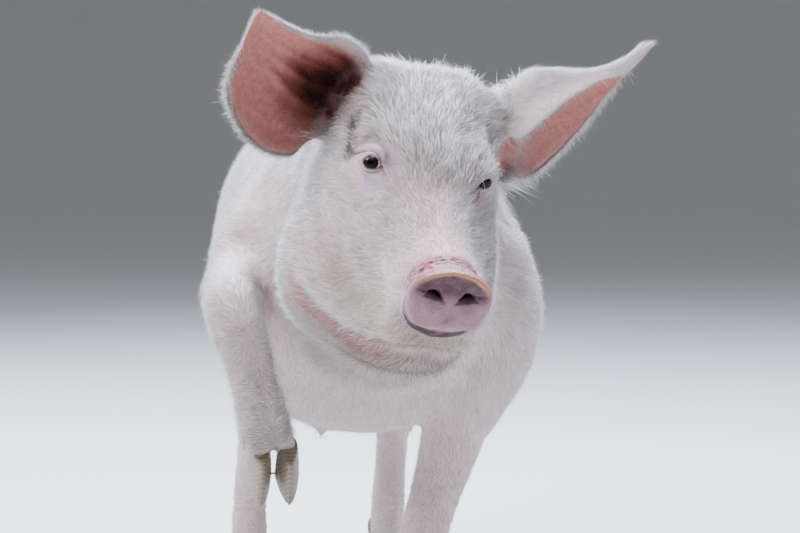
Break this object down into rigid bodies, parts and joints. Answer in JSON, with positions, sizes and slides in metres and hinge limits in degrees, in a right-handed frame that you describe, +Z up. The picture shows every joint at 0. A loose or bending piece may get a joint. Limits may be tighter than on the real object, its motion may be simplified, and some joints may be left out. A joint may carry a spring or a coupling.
{
  "type": "standing pig",
  "caption": "Life-size still model of a white prick-eared farm sow, standing with one forefoot lifted and the head turned to look ahead.",
  "frame": {"origin": "on the floor, below the middle of the animal's bounding box", "axes": "-Y the way the animal faces, +X its left side, +Z up"},
  "size_m": [0.5014, 1.6114, 0.8505],
  "materials": {
    "skin": "pink skin under a thin coat of white bristles",
    "snout": "bare damp gristle",
    "eye": "wet and glossy",
    "horn": "worn hoof horn with soil on it"
  },
  "bodies": {
    "root": {"trunk": "skin", "neck": "skin", "head": "skin", "jaw": "skin", "ear_left": "skin", "ear_right": "skin", "snout_disc": "snout", "eye_left": "eye", "eye_right": "eye", "foreleg_left": "skin", "foreleg_right": "skin", "hindleg_left": "skin", "hindleg_right": "skin", "tail": "skin", "fore_left_claw_inner": "horn", "fore_left_claw_outer": "horn", "fore_left_dewclaw_inner": "horn", "fore_left_dewclaw_outer": "horn", "fore_right_claw_inner": "horn", "fore_right_claw_outer": "horn", "fore_right_dewclaw_inner": "horn", "fore_right_dewclaw_outer": "horn", "hind_left_claw_inner": "horn", "hind_left_claw_outer": "horn", "hind_left_dewclaw_inner": "horn", "hind_left_dewclaw_outer": "horn", "hind_right_claw_inner": "horn", "hind_right_claw_outer": "horn", "hind_right_dewclaw_inner": "horn", "hind_right_dewclaw_outer": "horn"}
  },
  "joints": []
}
